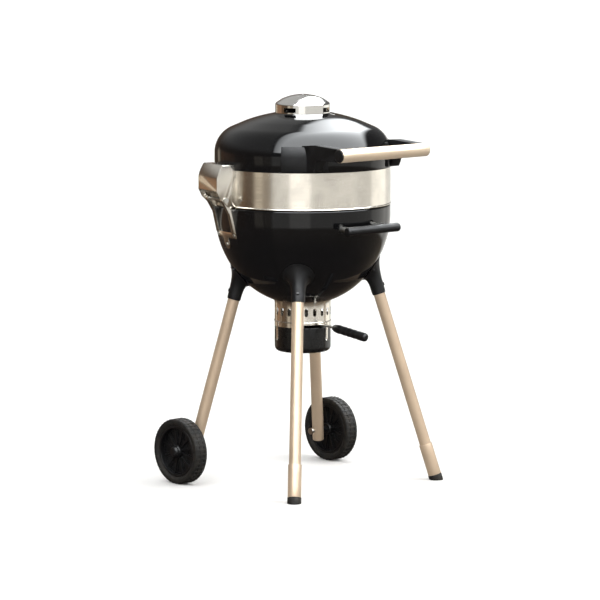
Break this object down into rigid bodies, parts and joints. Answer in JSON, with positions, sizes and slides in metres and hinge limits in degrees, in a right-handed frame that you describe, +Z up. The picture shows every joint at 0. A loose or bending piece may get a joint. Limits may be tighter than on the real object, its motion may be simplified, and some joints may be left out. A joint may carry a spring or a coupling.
{
  "type": "kettle charcoal grill",
  "caption": "Round kettle charcoal grill with hinged domed lid, steel band, top vent, ash can with damper lever, splayed tube legs and two wheels.",
  "frame": {"origin": "on the floor, under the middle of the whole object's bounding box", "axes": "+Z up; -Y is the front, where both handles and the damper lever point; +Y is the wheels' side; +X is the right seen from the front"},
  "size_m": [0.627, 0.6062, 1.0659],
  "materials": {
    "black_enamel": "gloss vitreous enamel on sheet steel",
    "brushed_stainless": "brushed stainless sheet",
    "satin_tube": "satin stainless tube",
    "polished_stainless": "polished stainless sheet",
    "black_nylon": "moulded glass-filled nylon",
    "black_rubber": "matt black rubber",
    "black_painted_steel": "semi-gloss black paint",
    "plated_wire": "dull nickel plated wire",
    "zinc_steel": "zinc plated steel fasteners"
  },
  "bodies": {
    "stand": {"bowl": "black_enamel", "bowl_handle_bar": "black_nylon", "bowl_handle_standoffs": "zinc_steel", "bowl_handle_screws": "zinc_steel", "hinge_bowl_bracket": "brushed_stainless", "hinge_bowl_rivets": "zinc_steel", "hinge_pin": "zinc_steel", "cook_grate_clips": "brushed_stainless", "coal_grate_clips": "brushed_stainless", "clip_rivets": "zinc_steel", "socket_front_left": "black_nylon", "socket_front_right": "black_nylon", "socket_rear_left": "black_nylon", "socket_rear_right": "black_nylon", "socket_bolts": "zinc_steel", "socket_screws": "zinc_steel", "leg_front_left": "satin_tube", "leg_front_right": "satin_tube", "leg_rear_left": "satin_tube", "leg_rear_right": "satin_tube", "foot_sleeve_left": "satin_tube", "foot_sleeve_right": "satin_tube", "foot_plug_left": "black_rubber", "foot_plug_right": "black_rubber", "rear_leg_plugs": "black_nylon", "axle_left": "zinc_steel", "axle_right": "zinc_steel", "axle_spacers": "black_nylon", "vent_ring": "brushed_stainless", "vent_ring_screws": "zinc_steel", "ash_can_clips": "brushed_stainless", "hub_cap_left": "black_nylon", "hub_cap_right": "black_nylon"},
    "damper": {"damper_shaft": "zinc_steel", "sweeper_blades": "black_painted_steel", "damper_lever": "zinc_steel", "lever_grip": "black_nylon", "damper_nut": "zinc_steel"},
    "ash_can": {"ash_can": "black_painted_steel"},
    "cooking_grate": {"cooking_grate": "plated_wire"},
    "charcoal_grate": {"charcoal_grate": "plated_wire"},
    "lid": {"lid_dome": "black_enamel", "lid_band": "brushed_stainless", "lid_band_rivets": "zinc_steel", "lid_handle_tube": "satin_tube", "lid_handle_plugs": "black_nylon", "lid_handle_arm_left": "black_nylon", "lid_handle_arm_right": "black_nylon", "lid_handle_screws": "zinc_steel", "hinge_lid_bracket": "brushed_stainless", "hinge_lid_rivets": "zinc_steel", "vent_collar": "polished_stainless", "vent_cap_rivet": "zinc_steel"},
    "vent_cap": {"vent_cap": "polished_stainless"},
    "wheel_left": {"wheel_tyre_left": "black_rubber", "wheel_disc_left": "black_nylon"},
    "wheel_right": {"wheel_tyre_right": "black_rubber", "wheel_disc_right": "black_nylon"}
  },
  "joints": [
    {"name": "lid_hinge", "type": "hinge", "parent": "stand", "child": "lid", "pos_m": [-0.25356, 0.09679, 0.79], "axis": [-0.2656, -0.9641, 0], "range_deg": [0, 95]},
    {"name": "vent_turn", "type": "hinge", "parent": "lid", "child": "vent_cap", "pos_m": [0, 0.02695, 1.05], "axis": [0, 0, 1], "range_deg": [0, 45]},
    {"name": "damper_turn", "type": "hinge", "parent": "stand", "child": "damper", "pos_m": [0, 0.02695, 0.435], "axis": [0, 0, -1], "range_deg": [0, 38]},
    {"name": "ash_can_drop", "type": "slide", "parent": "stand", "child": "ash_can", "axis": [0, 0, -1], "range_m": [0, 0.12]},
    {"name": "cooking_grate_lift", "type": "slide", "parent": "stand", "child": "cooking_grate", "axis": [0, 0, 1], "range_m": [0, 0.12]},
    {"name": "charcoal_grate_lift", "type": "slide", "parent": "stand", "child": "charcoal_grate", "axis": [0, 0, 1], "range_m": [0, 0.1]},
    {"name": "wheel_left_spin", "type": "hinge", "parent": "stand", "child": "wheel_left", "pos_m": [-0.285, 0.21308, 0.09], "axis": [1, 0, 0], "continuous": true},
    {"name": "wheel_right_spin", "type": "hinge", "parent": "stand", "child": "wheel_right", "pos_m": [0.285, 0.21308, 0.09], "axis": [1, 0, 0], "continuous": true}
  ]
}
